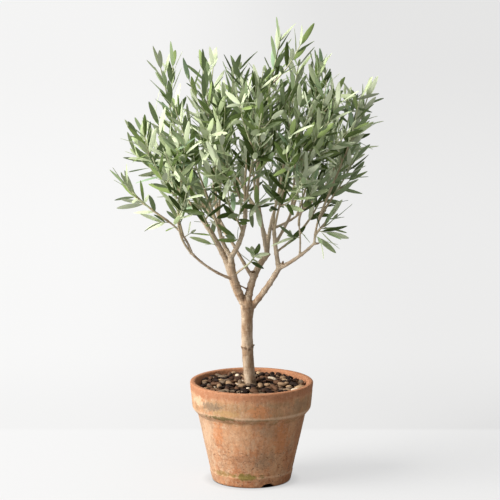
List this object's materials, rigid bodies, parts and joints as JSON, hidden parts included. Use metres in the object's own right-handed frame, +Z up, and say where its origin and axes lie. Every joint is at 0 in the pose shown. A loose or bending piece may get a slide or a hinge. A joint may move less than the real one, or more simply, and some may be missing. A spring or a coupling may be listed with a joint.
{
  "type": "potted olive tree",
  "caption": "Small clear-stemmed olive tree with a rounded silvery-green crown, in a weathered terracotta pot dressed with pebbles.",
  "frame": {"origin": "centre of the pot's flat underside", "axes": "+Z up along the trunk, -Y towards the front of the plant, +X to the right seen from the front"},
  "size_m": [0.5718, 0.4734, 0.977],
  "materials": {
    "clay": "matte weathered terracotta with pale bloom and green algae",
    "soil": "matte damp potting soil",
    "pebbles": "satin washed pebbles, mixed tan, grey and dark brown",
    "bark": "matte smooth young bark",
    "leaves": "satin leaves, green above and silvery below"
  },
  "bodies": {
    "root": {"pot": "clay", "soil": "soil", "pebbles": "pebbles", "trunk": "bark", "left_bough": "bark", "centre_bough": "bark", "right_bough": "bark", "mid_left_limb": "bark", "left_inner_limb": "bark", "outer_left_limb": "bark", "low_left_limb": "bark", "low_left_arm": "bark", "back_left_limb": "bark", "centre_inner_limb": "bark", "centre_right_limb": "bark", "back_limb": "bark", "right_inner_limb": "bark", "right_arm": "bark", "right_back_limb": "bark", "side_limb": "bark", "back_side_limb": "bark", "right_rising_limb": "bark", "right_outer_limb": "bark", "foliage_low_left": "leaves", "foliage_left_under": "leaves", "foliage_left": "leaves", "foliage_upper_left": "leaves", "foliage_left_high": "leaves", "foliage_left_top": "leaves", "foliage_left_front": "leaves", "foliage_left_back": "leaves", "foliage_mid_top": "leaves", "foliage_centre_top": "leaves", "foliage_front": "leaves", "foliage_front_left": "leaves", "foliage_tuft": "leaves", "foliage_inner_left": "leaves", "foliage_inner_right": "leaves", "foliage_top": "leaves", "foliage_right_top": "leaves", "foliage_right_crest": "leaves", "foliage_right_front": "leaves", "foliage_front_right": "leaves", "foliage_right": "leaves", "foliage_right_under": "leaves", "foliage_low_right": "leaves", "foliage_right_inner": "leaves", "foliage_right_back": "leaves", "foliage_back_right": "leaves", "foliage_back": "leaves", "foliage_back_left": "leaves", "foliage_back_top": "leaves", "foliage_back_inner": "leaves", "foliage_skirt_front": "leaves", "foliage_skirt_right": "leaves", "foliage_skirt_left": "leaves", "foliage_skirt_back": "leaves", "foliage_skirt_back_left": "leaves", "foliage_sprout": "leaves"}
  },
  "joints": []
}
